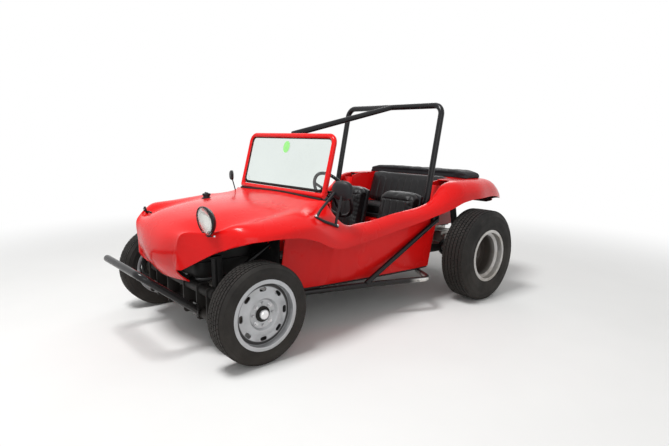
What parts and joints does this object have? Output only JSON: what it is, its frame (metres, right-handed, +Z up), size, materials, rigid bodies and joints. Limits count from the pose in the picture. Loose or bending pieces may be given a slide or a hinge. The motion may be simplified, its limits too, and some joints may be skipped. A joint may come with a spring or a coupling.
{
  "type": "dune buggy",
  "caption": "Open dune buggy: moulded shell on a short floorpan, roll hoop, splayed side rails, steered front wheels, wide rear wheels and a rear flat engine.",
  "frame": {"origin": "on the ground under the middle of the overall length, on the car's centre line", "axes": "+Y towards the tail (the nose faces -Y), +X towards the driver's side, which is the car's left, +Z up"},
  "size_m": [1.828, 3.236, 1.564],
  "materials": {
    "body_paint": "gloss red gel coat",
    "frame_black": "gloss black paint",
    "mirror_plastic": "black plastic",
    "glazing": "lightly tinted glass",
    "lamp_glass": "clear ribbed glass",
    "lamp_red": "red lens",
    "wheel_silver": "silver paint",
    "tyre": "matt rubber",
    "drum_iron": "bare iron",
    "engine_alloy": "cast alloy",
    "exhaust_steel": "dull heated steel",
    "vinyl": "black vinyl",
    "hood_cloth": "black hood cloth"
  },
  "bodies": {
    "chassis": {"backbone": "frame_black", "body_side_left": "body_paint", "body_side_right": "body_paint", "bonnet": "body_paint", "controls": "frame_black", "dashboard": "body_paint", "engine": "engine_alloy", "exhaust": "exhaust_steel", "fan_shroud": "frame_black", "floor_pan_left": "frame_black", "floor_pan_right": "frame_black", "folded_hood": "hood_cloth", "front_beam": "frame_black", "front_bumper": "frame_black", "front_wing_left": "body_paint", "front_wing_right": "body_paint", "fuel_cap": "frame_black", "headlamp_left": "frame_black", "headlamp_lens": "lamp_glass", "lamp_bracket_right": "frame_black", "mirror_left": "mirror_plastic", "mirror_right": "mirror_plastic", "nose_panel": "body_paint", "rear_deck": "body_paint", "rear_seat": "vinyl", "rear_suspension": "frame_black", "rear_tub": "body_paint", "rear_wing_left": "body_paint", "rear_wing_right": "body_paint", "roll_bar": "frame_black", "seat_left": "vinyl", "seat_right": "vinyl", "side_rail_left": "frame_black", "side_rail_right": "frame_black", "steering_box": "frame_black", "steering_column": "frame_black", "tail_lamps": "lamp_red", "toe_board": "frame_black", "transaxle": "engine_alloy", "tub_wall_left": "body_paint", "tub_wall_right": "body_paint", "windscreen_frame": "body_paint", "windscreen_glass": "glazing"},
    "steering_knuckle_left": {"knuckle_left": "frame_black"},
    "road_wheel_front_left": {"front_hub_left": "drum_iron", "front_wheel_left": "wheel_silver", "front_tyre_left": "tyre"},
    "road_wheel_rear_left": {"rear_hub_left": "drum_iron", "rear_wheel_left": "wheel_silver", "rear_tyre_left": "tyre"},
    "steering_knuckle_right": {"knuckle_right": "frame_black"},
    "road_wheel_front_right": {"front_hub_right": "drum_iron", "front_wheel_right": "wheel_silver", "front_tyre_right": "tyre"},
    "road_wheel_rear_right": {"rear_hub_right": "drum_iron", "rear_wheel_right": "wheel_silver", "rear_tyre_right": "tyre"},
    "hand_wheel": {"steering_wheel": "mirror_plastic"}
  },
  "joints": [
    {"name": "steer_left", "type": "hinge", "parent": "chassis", "child": "steering_knuckle_left", "pos_m": [0.59, -1.071, 0.298], "axis": [0, 0, 1], "range_deg": [-28, 28]},
    {"name": "steer_right", "type": "hinge", "parent": "chassis", "child": "steering_knuckle_right", "pos_m": [-0.59, -1.071, 0.298], "axis": [0, 0, 1], "range_deg": [-28, 28]},
    {"name": "front_spin_left", "type": "hinge", "parent": "steering_knuckle_left", "child": "road_wheel_front_left", "pos_m": [0.702, -1.071, 0.298], "axis": [1, 0, 0], "continuous": true},
    {"name": "front_spin_right", "type": "hinge", "parent": "steering_knuckle_right", "child": "road_wheel_front_right", "pos_m": [-0.702, -1.071, 0.298], "axis": [1, 0, 0], "continuous": true},
    {"name": "rear_spin_left", "type": "hinge", "parent": "chassis", "child": "road_wheel_rear_left", "pos_m": [0.8, 0.961, 0.362], "axis": [1, 0, 0], "continuous": true},
    {"name": "rear_spin_right", "type": "hinge", "parent": "chassis", "child": "road_wheel_rear_right", "pos_m": [-0.8, 0.961, 0.362], "axis": [1, 0, 0], "continuous": true},
    {"name": "steering_turn", "type": "hinge", "parent": "chassis", "child": "hand_wheel", "pos_m": [0.292, -0.166, 0.872], "axis": [0, 0.8829, 0.4695], "range_deg": [-392, 392]}
  ],
  "couplings": [
    {"joint": "steer_right", "follows": "steer_left", "ratio": 1},
    {"joint": "steering_turn", "follows": "steer_left", "ratio": 14}
  ]
}
